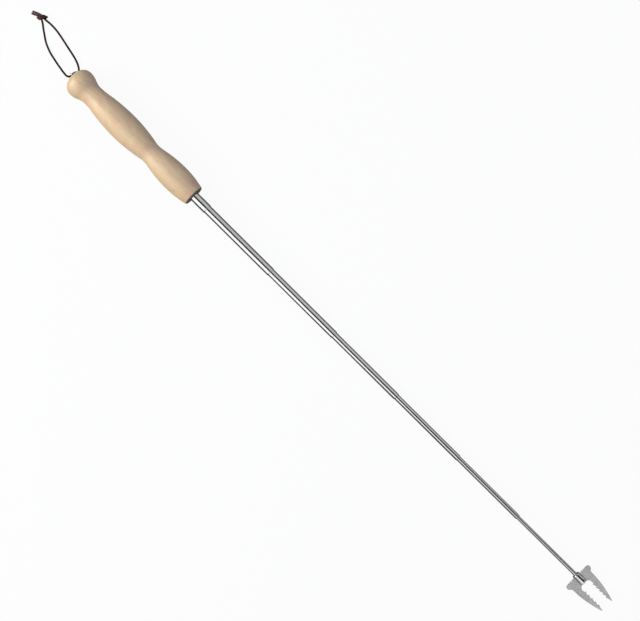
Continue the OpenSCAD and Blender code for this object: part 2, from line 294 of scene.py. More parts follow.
# %% Finish class
class Finish(NodeTree):
    """A material with one Principled shader, and helpers to fill its inputs."""

    def __init__(self, name, **uniform):
        self.material = bpy.data.materials.new(name)
        super().__init__(self.material)
        self.shader = self.nodes["Principled BSDF"]
        for key, value in uniform.items():
            self.fill(self.shader.inputs[key.replace("_", " ")], value)
        self.place = self.add("ShaderNodeTexCoord", {}, {}, "Object")

    def axis(self, letter):
        return self.add("ShaderNodeSeparateXYZ", {}, {0: self.place}, letter)

    def noise(self, size, stretch=(1, 1, 1), detail=3, roughness=0.5, shift=(0, 0, 0)):
        """Noise from 0 to 1 whose features are about this size in metres, times stretch along each axis."""
        scale = tuple(1 / (size * s) for s in stretch)
        scaled = self.add(
            "ShaderNodeMapping", {"vector_type": "POINT"},
            {"Vector": self.place, "Location": shift, "Scale": scale},
        )
        return self.add(
            "ShaderNodeTexNoise", {},
            {"Vector": scaled, "Scale": 1.0, "Detail": detail, "Roughness": roughness},
        )

    def feed(self, socket_name, wire):
        self.fill(self.shader.inputs[socket_name], wire)

    def bump(self, height, distance, strength=1.0):
        relief = {"Height": height, "Distance": distance, "Strength": strength}
        self.feed("Normal", self.add("ShaderNodeBump", {}, relief))


def paint(piece, *finishes):
    """Gives a piece these materials, one for each of its slots."""
    for index, finish in enumerate(finishes):
        if index < len(piece.material_slots):
            piece.material_slots[index].material = finish.material
        else:
            piece.data.materials.append(finish.material)


# %% [markdown]
# ## Beech
# The handle is turned from pale beech and thinly lacquered. Beech has faint growth rings, fine fibres along
# the wood, and many short brown flecks, and its colour drifts between warm, rosy and yellow in clouds about
# a centimetre long. The rings are distances from a line beside the handle, the pith of the tree, so that
# they close into long ovals on its swells as they do on real turned wood.

# %% Growth rings
PITH_Y, PITH_Z = 0.034, 0.021
RING_GAP = 0.0036

beech = Finish("beech_lacquered", Coat_Weight=0.12, Coat_Roughness=0.35, IOR=1.45)
bend = beech.noise(0.05, (4, 1, 1), 2) * 0.006
pith_y = beech.axis("Y") + PITH_Y + bend
pith_z = beech.axis("Z") + PITH_Z
ring_wobble = beech.noise(0.012, (9, 1, 1), 3) * 0.0012
ring_radius = (pith_y * pith_y + pith_z * pith_z).math("SQRT") + ring_wobble
ring_phase = (ring_radius / RING_GAP).math("FRACT")
late_wood = ring_phase.ramp(0.35, 0.95) * (1 - ring_phase.ramp(0.95, 1.0))
print("ring gap in mm:", RING_GAP / MM)

# %% Beech colour
BEECH_PALE = (0.92, 0.68, 0.40)
BEECH_WARM = (0.80, 0.53, 0.28)
BEECH_ROSY = (0.85, 0.535, 0.32)
BEECH_YELLOW = (0.95, 0.71, 0.37)
BEECH_FLECK = (0.50, 0.29, 0.15)

fibres = beech.noise(0.0006, (26, 1, 1), 4, 0.65)
cloud = beech.noise(0.022, (2.2, 1, 1), 3, 0.6)
flecks = beech.noise(0.00055, (5.5, 1, 1), 1, 0.4, (3, 1, 7)).ramp(0.66, 0.73)
rosy = beech.noise(0.010, (1.7, 1, 1), 2, 0.5, (4, 1, 2)).ramp(0.50, 0.70)
yellow = beech.noise(0.008, (1.5, 1, 1), 2, 0.5, (7, 3, 5)).ramp(0.52, 0.70)
warmth = (late_wood * 0.30 + fibres * 0.45 + cloud * 0.75 - 0.28).clipped()
beech_colour = beech.blend(warmth, BEECH_PALE, BEECH_WARM)
beech_colour = beech.blend(rosy * 0.8, beech_colour, BEECH_ROSY)
beech_colour = beech.blend(yellow * 0.55, beech_colour, BEECH_YELLOW)
beech_colour = beech.blend(flecks * 0.42, beech_colour, BEECH_FLECK)
beech.feed("Base Color", beech_colour)
beech.feed("Roughness", 0.44 + fibres * 0.14)
beech.bump(fibres * 0.6 - flecks * 0.5, 0.00008, 0.6)
print("beech nodes:", len(beech.nodes))

# %% [markdown]
# Where the turned wood ends, its pores are cut across. End grain drinks the finish and turns much darker,
# and it shows rings and pores but no long fibres. It gets a material of its own on the front face and in
# the mouth, with the same pith, so that its rings meet those on the side.

# %% End grain
GRAIN_PALE = (0.30, 0.20, 0.125)
GRAIN_DARK = (0.15, 0.095, 0.06)

end_grain = Finish("beech_end_grain", Roughness=0.7)
grain_y = end_grain.axis("Y") + PITH_Y
grain_z = end_grain.axis("Z") + PITH_Z
grain_radius = (grain_y * grain_y + grain_z * grain_z).math("SQRT")
grain_phase = (grain_radius / RING_GAP + end_grain.noise(0.004, detail=2) * 0.5).math("FRACT")
pores = end_grain.noise(0.0005, detail=2).ramp(0.45, 0.65)
darkness = (grain_phase.ramp(0.3, 1.0) * 0.5 + pores * 0.5).clipped()
end_grain.feed("Base Color", end_grain.blend(darkness, GRAIN_PALE, GRAIN_DARK))
end_grain.bump(1 - pores, 0.00006, 0.5)
print("end grain nodes:", len(end_grain.nodes))

# %% [markdown]
# ## Steel
# The tubes are polished and seamless: nearly a mirror, with fine lengthwise marks from sliding. The edge
# tint of a metal, its Specular Tint, is set dark here: a painted shade that darkens the tubes at their rims,
# in place of the reflection of the shaded table. The socket is polished a little more, and the eye is bright
# drawn wire. The three are so alike that one function makes them.

# %% Polished steel
# Painted shade: this dark edge tint darkens the rims of the tubes, the socket and the eye.
STEEL_RIM_PAINTED_SHADE = (0.25, 0.25, 0.25)
WORN_SHARE = 0.93


def steel(name, colour, smooth, rough, mark_size):
    """Polished steel between two roughnesses, with lengthwise marks of this size."""
    finish = Finish(name, Metallic=1.0, Specular_Tint=STEEL_RIM_PAINTED_SHADE)
    marks = finish.noise(mark_size, (60, 1, 1), 4, 0.6)
    wear = finish.noise(0.012, (3, 1, 1), 3)
    worn_colour = tuple(WORN_SHARE * c for c in colour)
    finish.feed("Base Color", finish.blend(wear * 0.5 + marks * 0.5, worn_colour, colour))
    finish.feed("Roughness", smooth + (rough - smooth) * (marks * 0.7 + wear * 0.3))
    finish.bump(marks, 0.000004, 0.5)
    return finish


tube_steel = steel("polished_tube_steel", (0.80, 0.805, 0.81), 0.06, 0.20, 0.0003)
socket_steel = steel("polished_socket_steel", (0.86, 0.865, 0.87), 0.04, 0.10, 0.0003)
wire_steel = steel("bright_wire_steel", (0.80, 0.80, 0.81), 0.12, 0.25, 0.0002)
print("polished steels:", tube_steel.material.name, socket_steel.material.name, wire_steel.material.name)

# %% [markdown]
# The fork is left with the matt lengthwise grain of brushed sheet. Each brush mark is a very long and thin
# patch of noise, wider streaks lie among them, and faint stains cross both, as on a fork that is in use.

# %% Brushed sheet
# Painted shade: this dark edge tint darkens the rims of the sheet.
SHEET_RIM_PAINTED_SHADE = (0.4, 0.4, 0.4)
SHEET_DULL = (0.52, 0.52, 0.525)
SHEET_BRIGHT = (0.84, 0.84, 0.845)

sheet_steel = Finish("brushed_sheet_steel", Metallic=1.0, Specular_Tint=SHEET_RIM_PAINTED_SHADE)
brush = sheet_steel.noise(0.00022, (70, 1, 1), 5, 0.7)
streaks = sheet_steel.noise(0.0012, (25, 1, 1), 3, 0.6, (5, 2, 1))
stains = sheet_steel.noise(0.008, detail=3)
brightness = (brush * 0.40 + streaks.ramp(0.30, 0.70) * 0.32 + stains.ramp(0.35, 0.65) * 0.28).clipped()
sheet_steel.feed("Base Color", sheet_steel.blend(brightness, SHEET_DULL, SHEET_BRIGHT))
sheet_steel.feed("Roughness", 0.34 + brush * 0.16 + stains * 0.06)
sheet_steel.bump(brush * 0.8 + streaks * 0.4, 0.00001, 0.8)
print("sheet nodes:", len(sheet_steel.nodes))

# %% [markdown]
# The stop collars are plain brass and the grip springs are bronze strip. They sit inside the tubes and show
# only when the model is taken apart, so a light turning pattern is all they need.

# %% Brass and bronze
def yellow_metal(name, pale, deep, rough):
    """A turned yellow metal with a light tarnish."""
    finish = Finish(name, Metallic=1.0)
    turning = finish.noise(0.00015, (1, 8, 8), 3)
    tarnish = finish.noise(0.002, detail=3)
    finish.feed("Base Color", finish.blend((turning * 0.4 + tarnish * 0.6).clipped(), pale, deep))
    finish.feed("Roughness", rough + tarnish * 0.15)
    finish.bump(turning, 0.000006, 0.5)
    return finish


collar_brass = yellow_metal("turned_brass", (0.82, 0.64, 0.33), (0.62, 0.45, 0.20), 0.22)
spring_bronze = yellow_metal("spring_bronze", (0.74, 0.50, 0.29), (0.52, 0.31, 0.17), 0.28)
print("yellow metals:", collar_brass.material.name, spring_bronze.material.name)

# %% [markdown]
# ## Leather
# The lace is dark brown waxed leather, about as thick as a bootlace. Up close it has fine creases and a dull
# waxy shine. The strands are nearly black. The same leather is painted paler on the knot, with smaller pale
# patches: a painted highlight for the sheen on its turns.

# %% Leather
def lace_leather(name, dark, wear_and_highlight, wear_and_highlight_size):
    """Waxed leather between two colours, with patches of this size: wear on the strands, and a painted
    highlight on the knot.
    """
    finish = Finish(name, IOR=1.45, Specular_IOR_Level=0.15)
    grain = finish.noise(0.00035, detail=4, roughness=0.6)
    patches = finish.noise(wear_and_highlight_size, detail=3)
    wear_and_highlight_mask = (patches.ramp(0.35, 0.7) * 0.8 + grain * 0.5 - 0.15).clipped()
    finish.feed("Base Color", finish.blend(wear_and_highlight_mask, dark, wear_and_highlight))
    finish.feed("Roughness", 0.40 + patches * 0.22)
    finish.bump(grain, 0.00012, 0.7)
    return finish


strand_leather = lace_leather("waxed_lace_leather", (0.008, 0.002, 0.002), (0.052, 0.012, 0.009), 0.004)
# The knot's paler colours and patches are a painted highlight.
knot_highlight_leather = lace_leather("knot_leather_painted_highlight", (0.024, 0.008, 0.007), (0.120, 0.050, 0.044), 0.0012)
paint(left_strand, strand_leather)
paint(right_strand, strand_leather)
paint(knot, knot_highlight_leather)
print("leathers:", strand_leather.material.name, knot_highlight_leather.material.name)

# %% [markdown]
# ## Turned shapes
# The handle, the tubes, the rod and the socket are bodies of revolution. A profile is drawn once as (place
# along X, radius) points and turned in code into rings of vertices. That gives even quads and smooth
# shading, and the rolled edges of the tubes can be as fine as they need to be.

# %% A lathe
ON_AXIS = 0.0001
SHARP_TURN = 38
RING_POINTS = 96
HANDLE_RING_POINTS = 128


def link_mesh(name, vertices, faces, sharp_angle, finishes=None):
    """A smooth mesh object whose edges are sharp where they turn by more than this angle."""
    mesh = bpy.data.meshes.new(name)
    mesh.from_pydata(vertices, [], faces)
    if finishes:
        mesh.polygons.foreach_set("material_index", finishes)
    mesh.shade_smooth()
    mesh.set_sharp_from_angle(angle=math.radians(sharp_angle))
    mesh.update()
    piece = bpy.data.objects.new(name, mesh)
    bpy.context.scene.collection.objects.link(piece)
    return piece


def turned(name, profile, segments=RING_POINTS, closed=True, finish_of=lambda band: 0):
    """A profile of (x, radius) points in millimetres, turned about X.

    finish_of picks the material of each band between two points.
    """
    vertices, rings = [], []
    for x, r in profile:
        if r < ON_AXIS:
            rings.append([len(vertices)])
            vertices.append((x * MM, 0, 0))
        else:
            rings.append(list(range(len(vertices), len(vertices) + segments)))
            for s in range(segments):
                a = 2 * math.pi * s / segments
                vertices.append((x * MM, r * MM * math.cos(a), r * MM * math.sin(a)))
    bands = list(zip(rings, rings[1:] + rings[:1])) if closed else list(zip(rings, rings[1:]))
    faces, finishes = [], []
    for band, (a, b) in enumerate(bands):
        for s in range(segments):
            t = (s + 1) % segments
            corners = list(dict.fromkeys([a[s % len(a)], a[t % len(a)], b[t % len(b)], b[s % len(b)]]))
            if len(corners) > 2:
                faces.append(corners)
                finishes.append(finish_of(band))
    return link_mesh(name, vertices, faces, SHARP_TURN, finishes)


def arc(centre_x, centre_r, radius, start, end, steps):
    """Points along an arc in the (x, radius) plane, angles in degrees from the X axis."""
    turns = [math.radians(start + (end - start) * i / steps) for i in range(steps + 1)]
    return [(centre_x + radius * math.cos(t), centre_r + radius * math.sin(t)) for t in turns]


print("points in a ring:", RING_POINTS, "or for the handle", HANDLE_RING_POINTS)

# %% [markdown]
# ## The handle
# A turner makes this outline with a gouge: bulges and hollows that run smoothly into each other. Each
# stretch between a high and a low point is two arcs that meet with the same slope. The stations are real
# sizes in millimetres from the rear end, and the same ones that the CAD model has.

# %% Handle outline
STATIONS = [(13, 17.25), (32, 12.9), (82, 17.1), (126, 12.5), (166, 16.5)]
REAR_ARC_SHARE = [0.52, 0.24, 0.92, 0.22]
KNOB_POWER = 0.9
MOUTH_R = 13.0
CHAMFER = 0.9
WAVE_STEPS, FALL_STEPS = 28, 20


def wave(a, b, share):
    """Two arcs from a high point to a low one, or back, level at both ends. The first one has this share."""
    run, rise = b[0] - a[0], b[1] - a[1]
    turn = 2 * math.atan(abs(rise) / run)
    radius, way = run / math.sin(turn), math.copysign(1, rise)
    first, last = radius * share, radius * (1 - share)
    slopes = [turn * i / WAVE_STEPS for i in range(WAVE_STEPS + 1)]
    leaving = [(a[0] + first * math.sin(t), a[1] + way * first * (1 - math.cos(t))) for t in slopes[1:]]
    settling = [(b[0] - last * math.sin(t), b[1] - way * last * (1 - math.cos(t))) for t in slopes[-2::-1]]
    return leaving + settling


def knob():
    """The rounded rear end, from the axis to the first station."""
    long, high = STATIONS[0]
    quarter = [math.radians(90 * i / WAVE_STEPS) for i in range(WAVE_STEPS + 1)]
    return [
        (long * (1 - max(0, math.cos(t)) ** KNOB_POWER), high * math.sin(t) ** KNOB_POWER) for t in quarter
    ]


def fall(start_x, start_r, end_x, end_r, steps):
    """One arc that leaves the start level and falls to the end. The start itself is left out."""
    run, drop = end_x - start_x, start_r - end_r
    radius = (run * run + drop * drop) / (2 * drop)
    turn = math.degrees(math.asin(run / radius))
    return arc(start_x, start_r - radius, radius, 90, 90 - turn, steps)[1:]


handle_end = HANDLE_LENGTH / MM
outline = knob()
for a, b, share in zip(STATIONS, STATIONS[1:], REAR_ARC_SHARE):
    outline += wave(a, b, share)
outline += fall(*STATIONS[-1], handle_end - CHAMFER, MOUTH_R, FALL_STEPS)
side_bands = len(outline) - 1
print("outline points:", len(outline), "widest radius in mm:", round(max(r for _, r in outline), 2))

# %% [markdown]
# The front end has a small chamfer, a countersunk mouth, and the bore that holds the outer tube. These and
# the front face get the end grain, and the whole side gets the long grain.

# %% Handle
SEAT_R = 5.85
SINK = 1.5
BORE_BOTTOM = 97

outline += [
    (handle_end, MOUTH_R - CHAMFER), (handle_end, SEAT_R + SINK), (handle_end - SINK, SEAT_R),
    (BORE_BOTTOM, SEAT_R), (BORE_BOTTOM, 0),
]
handle = turned(
    "handle_turned", [(x - handle_end, r) for x, r in outline], HANDLE_RING_POINTS, closed=False,
    finish_of=lambda band: int(band >= side_bands),
)
paint(handle, beech, end_grain)
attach(handle, "grip")
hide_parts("handle")
print("handle faces:", len(handle.data.polygons))

# %% [markdown]
# ## The telescope
# Six thin tubes and a solid rod slide in each other. Each tube's front edge is rolled inwards, which keeps
# the next one in, and its rear end is flared. Those small radii catch the light at every joint, so the
# profile draws them with several steps. The diameters are built up from the rod outwards, as the tubes
# really nest.

# %% Tube sizes in millimetres
ROD_D, WALL, GAP, ROD_GAP = 4.6, 0.3, 0.25, 0.45
OUTER_TUBE, OVERLAP = 120.0, 13.5
SHOWS = [21.5, 102.5, 102.5, 100.5, 100, 96, 93]

diameters = [ROD_D]
for k in range(6):
    diameters.insert(0, diameters[0] + 2 * WALL + 2 * (ROD_GAP if k == 0 else GAP))
fronts = [sum(SHOWS[:k + 1]) for k in range(7)]
lengths = [OUTER_TUBE] + [show + OVERLAP for show in SHOWS[1:]]
print("diameters:", [round(d, 1) for d in diameters])
print("front ends:", fronts)

# %% [markdown]
# Smooth shading blends the normals of a straight wall and of the round edge that follows it. Without help,
# the whole tube would shade as if it narrowed towards its end. So a ring of points holds the wall level just
# before each round edge.

# %% Tube profile
LIP, LIP_PLAY, LIP_BEVEL = 0.8, 0.05, 0.02
LIP_START, LIP_LEVEL = 0.06, 0.14
FLARE, PLAY = 0.6, 0.03
ROLL_DROP, SHOULDER_ROUND, NOSE_ROUND, CONE_ANGLE = 0.42, 0.4, 0.10, 31
HOLD = 0.3
BEAD_REAR, BEAD_FRONT, BEAD_RISE, BEAD_BEVEL = -1.2, -0.5, 0.3, 0.1


def rolled_edge(front, r):
    """The rolled-in front end of a tube: a hold ring, a soft shoulder, a short cone and a fine nose."""
    nose = arc(front - NOSE_ROUND, r - ROLL_DROP, NOSE_ROUND, 90 - CONE_ANGLE, 0, 4)
    shoulder = arc(0, r - SHOULDER_ROUND, SHOULDER_ROUND, 90, 90 - CONE_ANGLE, 6)
    cone_run = (shoulder[-1][1] - nose[0][1]) / math.tan(math.radians(CONE_ANGLE))
    shift = nose[0][0] - cone_run - shoulder[-1][0]
    return [(shift - HOLD, r)] + [(x + shift, y) for x, y in shoulder] + nose


def beaded_rear(rear, r):
    """The rear of the outer tube, with the small bead that stops it in the handle's mouth."""
    low, high = r + BEAD_RISE - BEAD_BEVEL, r + BEAD_RISE
    return [
        (rear, r), (BEAD_REAR, r), (BEAD_REAR, low), (BEAD_REAR + BEAD_BEVEL, high),
        (BEAD_FRONT - BEAD_BEVEL, high), (BEAD_FRONT, low), (BEAD_FRONT, r),
    ]


def flared_rear(k, rear):
    """The rear of section k, which fills the tube behind it but for a little play."""
    flare = diameters[k - 1] / 2 - WALL - PLAY
    return [(rear, flare), (rear + FLARE, flare), (rear + FLARE, diameters[k] / 2)]


def tube_profile(k):
    """Section k from 0: the outside from the rear, the rolled front edge, the lip, and the bore back."""
    r, front = diameters[k] / 2, fronts[k]
    bore, lip = r - WALL, diameters[k + 1] / 2 + LIP_PLAY
    rear = front - lengths[k]
    outside = beaded_rear(rear, r) if k == 0 else flared_rear(k, rear)
    mouth = [(front - LIP_START, lip + LIP_BEVEL), (front - LIP_LEVEL, lip)]
    inside = [(front - LIP, lip), (front - LIP, bore), (rear, bore)]
    return outside + rolled_edge(front, r) + mouth + inside


print("points in the outer tube's profile:", len(tube_profile(0)))

# %% Tubes
for k in range(6):
    tube = turned(f"tube_{k + 1}_drawn", tube_profile(k))
    paint(tube, tube_steel)
    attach(tube, "grip" if k == 0 else f"section_{k + 1}")
    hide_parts(f"tube_{k + 1}")
    print(tube.name, "ends at", fronts[k], "mm and is", round(diameters[k], 1), "mm thick")

# %% Rod
ROD_IN_SOCKET = 7
ROD_BEVEL, FLARE_BEVEL = 0.3, 0.1

rod_front, rod_rear = fronts[-1] + ROD_IN_SOCKET, fronts[-1] - lengths[-1]
rod_flare = diameters[5] / 2 - WALL - PLAY
rod = turned("rod_drawn", [
    (rod_rear, 0), (rod_rear, rod_flare - FLARE_BEVEL), (rod_rear + FLARE_BEVEL, rod_flare),
    (rod_rear + FLARE, rod_flare), (rod_rear + FLARE, ROD_D / 2),
    (rod_front - ROD_BEVEL, ROD_D / 2), (rod_front, ROD_D / 2 - ROD_BEVEL), (rod_front, 0),
], closed=False)
paint(rod, tube_steel)
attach(rod, "fork_head")
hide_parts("rod")
print("the rod ends at", rod_front, "mm")

# %% [markdown]
# ## The socket
# A short polished sleeve joins the rod and the fork. The real one has a slot for the sheet, but the sheet
# fills the slot, so the sleeve is turned whole here and the sheet passes through it. That keeps its
# reflections as clean as on a lathe-turned sleeve, which a cut mesh would break up. Hold rings keep its
# barrel level between the rounded ends.

# %% Socket
SLEEVE_REAR, SLEEVE_LENGTH, SLEEVE_R = 616.0, 13.4, 4.6
SLEEVE_REAR_ROUND, SLEEVE_NOSE = 1.1, 1.0
SLEEVE_BORE_R, SLEEVE_BORE_DEPTH = ROD_D / 2 + 0.02, 2
SLEEVE_STEPS = 10

sleeve_front = SLEEVE_REAR + SLEEVE_LENGTH
round_rear = SLEEVE_REAR + SLEEVE_REAR_ROUND
round_front = sleeve_front - SLEEVE_NOSE
sleeve_profile = [(SLEEVE_REAR + SLEEVE_BORE_DEPTH, SLEEVE_BORE_R), (SLEEVE_REAR, SLEEVE_BORE_R)]
sleeve_profile += arc(round_rear, SLEEVE_R - SLEEVE_REAR_ROUND, SLEEVE_REAR_ROUND, 180, 90, SLEEVE_STEPS)
sleeve_profile += [(round_rear + HOLD, SLEEVE_R), (round_front - HOLD, SLEEVE_R)]
sleeve_profile += arc(round_front, SLEEVE_R - SLEEVE_NOSE, SLEEVE_NOSE, 90, 0, SLEEVE_STEPS)
sleeve_profile += [(sleeve_front, 0)]
sleeve = turned("socket_turned", sleeve_profile, closed=False)
paint(sleeve, socket_steel)
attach(sleeve, "fork_head")
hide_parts("fork_socket")
print("socket faces:", len(sleeve.data.polygons))

# %% [markdown]
# ## The fork
# The fork is stamped from flat sheet: two shoulders, two tapering tines with saw teeth inside, and a slot
# at the rear that goes over the rod. One half is drawn from the slot round to the middle of the gap, and
# the other half is its mirror image. All sizes are in millimetres from the rear edge of the sheet.

# %% Fork outline
PLATE_REAR, PLATE_T, PLATE_LEN = 618.0, 1.5, 49.0
SHOULDER_W, SHOULDER_R, ROOT_W, TIP_W, TIP_BLUNT = 36.8, 3.2, 29.8, 16.4, 0.8
GAP_W, GAP_CORNER, GAP_FROM, NECK_FILLET = 14.4, 5.2, 11.8, 1.6
TOOTH_PITCH, TOOTH_H, FIRST_TOOTH, TEETH, TOOTH_RUN = 5.3, 1.6, 8.3, 5, 0.85
NOTCH_W, NOTCH_LEN = 4.64, 5.02
CORNER_STEPS, FILLET_STEPS, TINE_STEPS = 20, 8, 30


def half_outline():
    """The +Y half: slot, shoulder, neck, the tine's outer edge, its tip, the teeth and the gap."""
    neck_x = (SHOULDER_W - ROOT_W) / 2 + math.sqrt(2) * (SHOULDER_R + NECK_FILLET) - NECK_FILLET
    half = [(NOTCH_LEN, NOTCH_W / 2), (0, NOTCH_W / 2)]
    half += arc(SHOULDER_R, SHOULDER_W / 2 - SHOULDER_R, SHOULDER_R, 180, 45, CORNER_STEPS)
    half += arc(neck_x, ROOT_W / 2 + NECK_FILLET, NECK_FILLET, 225, 270, FILLET_STEPS)
    half += fall(neck_x, ROOT_W / 2, PLATE_LEN, TIP_W / 2, TINE_STEPS)
    half += [(PLATE_LEN, TIP_W / 2 - TIP_BLUNT)]
    for i in reversed(range(TEETH)):
        tooth = GAP_FROM + FIRST_TOOTH + i * TOOTH_PITCH
        half += [(tooth + TOOTH_RUN * TOOTH_PITCH, GAP_W / 2)]
        half += [(tooth, GAP_W / 2 - TOOTH_H), (tooth, GAP_W / 2)]
    return half + arc(GAP_FROM + GAP_CORNER, GAP_W / 2 - GAP_CORNER, GAP_CORNER, 90, 180, CORNER_STEPS)


fork_outline = half_outline() + [(x, -y) for x, y in reversed(half_outline())]
print("fork outline points:", len(fork_outline))

# %% [markdown]
# A stamping has slightly rounded edges, which is what makes it read as metal and not as card. A Bevel
# modifier could round them, but the small teeth would get in its way. So the outline is worked out once,
# and shrunken copies of it, one above the other, make the rounded edge.

# %% Rounded stamping
EDGE_ROUND = 0.34
FLAT_RIM = 0.03
MITRE_LIMIT = 0.55
STAMPED_SHARP_TURN = 35


def shrunk(points, inset):
    """The closed outline moved inwards by inset. The points run with the metal on their right."""
    moved = []
    for before, here, after in zip(points[-1:] + points[:-1], points, points[1:] + points[:1]):
        ways = []
        for a, b in ((before, here), (here, after)):
            way = Vector(b) - Vector(a)
            ways.append(Vector((way.y, -way.x)).normalized())
        middle = (ways[0] + ways[1]).normalized()
        reach = inset / max(MITRE_LIMIT, middle.dot(ways[0]))
        moved.append((here[0] + middle.x * reach, here[1] + middle.y * reach))
    return moved


layers = [(EDGE_ROUND + FLAT_RIM, PLATE_T / 2)]
for turn in (90, 60, 30, 0):
    inset = EDGE_ROUND * (1 - math.cos(math.radians(turn)))
    layers.append((inset, PLATE_T / 2 - EDGE_ROUND + EDGE_ROUND * math.sin(math.radians(turn))))
layers += [(inset, -z) for inset, z in reversed(layers)]
print("layers in the stamping:", len(layers))

# %% Fork
count = len(fork_outline)
vertices = [
    ((PLATE_REAR + x) * MM, y * MM, z * MM) for inset, z in layers for x, y in shrunk(fork_outline, inset)
]
top_face = list(range(count))[::-1]
bottom_face = list(range(count * (len(layers) - 1), count * len(layers)))
faces = [top_face, bottom_face]
for here in range(0, count * (len(layers) - 1), count):
    for i in range(count):
        j = (i + 1) % count
        faces.append([here + i, here + j, here + count + j, here + count + i])
fork_piece = link_mesh("fork_stamped", vertices, faces, STAMPED_SHARP_TURN)
paint(fork_piece, sheet_steel)
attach(fork_piece, "fork_head")
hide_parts("fork_plate")
print("fork faces:", len(fork_piece.data.polygons))

# %% [markdown]
# ## Pieces that the CAD model already has right
# The wire eye, the collars and the springs keep their CAD meshes. They only need a finish.

# %% Finish the CAD pieces
for name, node in nodes.items():
    if name == "cord_eye":
        paint(node, wire_steel)
    elif name.startswith("stop_collar"):
        paint(node, collar_brass)
    elif name.startswith("grip_spring"):
        paint(node, spring_bronze)
print("nodes in the frame:", len(nodes))

# %% [markdown]
# ## The table
# The fork lies on a pale table, which it touches with the front swell of the handle and with its socket.
# Because the handle is thicker than the socket, the table slopes by one degree against the fork's axis. To
# the camera and to reflections the floor is nearly white, with a little of its real shading mixed in, so
# that a soft shadow stays. Far out that share fades to nothing, and the floor's edge can't be told from the
# white round it.

# %% Floor
REST_X, REST_Z = -0.030, -0.0165
SOCKET_X, SOCKET_Z = 0.6294, -0.0046
FLOOR_HALF = 3.0
FLOOR_BELOW = 0.0002
WHITE = (1.0, 1.0, 1.0)
FLOOR_UNSEEN = (0.50, 0.50, 0.50)
GLOW_NEAR, FADE_FROM, FADE_TO = 0.94, 0.6, 1.8

slope = (SOCKET_Z - REST_Z) / (SOCKET_X - REST_X)


def table_height(x):
    return REST_Z + slope * (x - REST_X)


def flat_card(name, corners, material):
    """A stage piece with one face."""
    mesh = bpy.data.meshes.new(name)
    mesh.from_pydata(corners, [], [(0, 1, 2, 3)])
    mesh.materials.append(material)
    card = bpy.data.objects.new(name, mesh)
    bpy.context.scene.collection.objects.link(card)
    return card


def seen_directly(tree):
    """1 for rays from the camera, and for those that a reflection or a clear body passes on."""
    camera_ray = tree.add("ShaderNodeLightPath", {}, {}, "Is Camera Ray")
    glossy_ray = tree.add("ShaderNodeLightPath", {}, {}, "Is Glossy Ray")
    through_ray = tree.add("ShaderNodeLightPath", {}, {}, "Is Transmission Ray")
    return (camera_ray + glossy_ray + through_ray).clipped()


pale_floor = bpy.data.materials.new("pale_floor")
tree = NodeTree(pale_floor, empty=True)
seen = seen_directly(tree)
matt = tree.add("ShaderNodeBsdfDiffuse", {}, {"Color": tree.blend(seen, FLOOR_UNSEEN, WHITE)})
glow = tree.add("ShaderNodeEmission", {}, {"Color": WHITE, "Strength": 1.0})
place = tree.add("ShaderNodeTexCoord", {}, {}, "Object")
from_middle = tree.add("ShaderNodeVectorMath", {"operation": "LENGTH"}, {0: place}, "Value")
glow_share = seen * (GLOW_NEAR + from_middle.ramp(FADE_FROM, FADE_TO) * (1 - GLOW_NEAR))
tree.show(tree.add("ShaderNodeMixShader", {}, {0: glow_share, 1: matt, 2: glow}))
flat_card("floor", [
    (x * FLOOR_HALF, y * FLOOR_HALF, table_height(x * FLOOR_HALF) - FLOOR_BELOW)
    for x, y in ((-1, -1), (1, -1), (1, 1), (-1, 1))
], pale_floor)
print("table slope in degrees:", round(math.degrees(math.atan(slope)), 2))

# %% [markdown]
# ## Light
# A large soft lamp stands behind the handle on one side, low enough to reach round it, and a weaker bluish
# one on the other side, as a window would be. The world fills the shadows with a dim blue, and is plain
# white to the camera and to reflections. The steel doesn't mirror the lamps, because its reflections are
# planned separately.

# %% World
SKY_UNSEEN = (0.20, 0.22, 0.28)

world = bpy.data.worlds.new("studio")
bpy.context.scene.world = world
tree = NodeTree(world, empty=True)
sky = tree.blend(seen_directly(tree), SKY_UNSEEN, WHITE)
tree.show(tree.add("ShaderNodeBackground", {}, {"Color": sky}), "ShaderNodeOutputWorld")
print("world nodes:", len(tree.nodes))

# %% Lamps
MIDDLE = Vector((0.2, 0, 0))
LAMP_DISTANCE = 1.8
LAMP_SIZE = (1.6, 1.2)


def soft_lamp(name, towards, radiance, colour):
    """An area lamp in this direction from the middle of the fork, which shines with this radiance."""
    data = bpy.data.lights.new(name, "AREA")
    data.shape = "RECTANGLE"
    data.size, data.size_y = LAMP_SIZE
    data.energy = radiance * math.pi * LAMP_SIZE[0] * LAMP_SIZE[1]
    data.color = colour
    lamp = bpy.data.objects.new(name, data)
    back = Vector(towards).normalized()
    side = Vector((1, 0, 0))
    over = back.cross(side).normalized()
    turn = Matrix((side, over, back)).transposed().to_4x4()
    lamp.matrix_world = Matrix.Translation(MIDDLE + LAMP_DISTANCE * back) @ turn
    lamp.visible_glossy = False
    bpy.context.scene.collection.objects.link(lamp)
    print(name, "shines with", radiance)


soft_lamp("key_lamp", (-1.1, -1.0, 1.0), 3.75, WHITE)
soft_lamp("fill_lamp", (0.1, 0.8, 1.0), 1.15, (0.59, 0.67, 1.0))

# %% [markdown]
# ## Reflections
# Polished steel shows its surroundings more than its own colour. A photographer places dark and white
# cards round a shiny object for that reason, and so do these cells. The cards are strips along the fork, on
# a circle round its axis, and only reflections see them. Angles are from straight up, and positive towards
# +Y. A dark ceiling draws the dark line along the middle of each tube, a white card beside it draws the
# bright line, and grey and dark cards follow down to the table.

# %% Card helpers
CARD_DISTANCE = 1.9


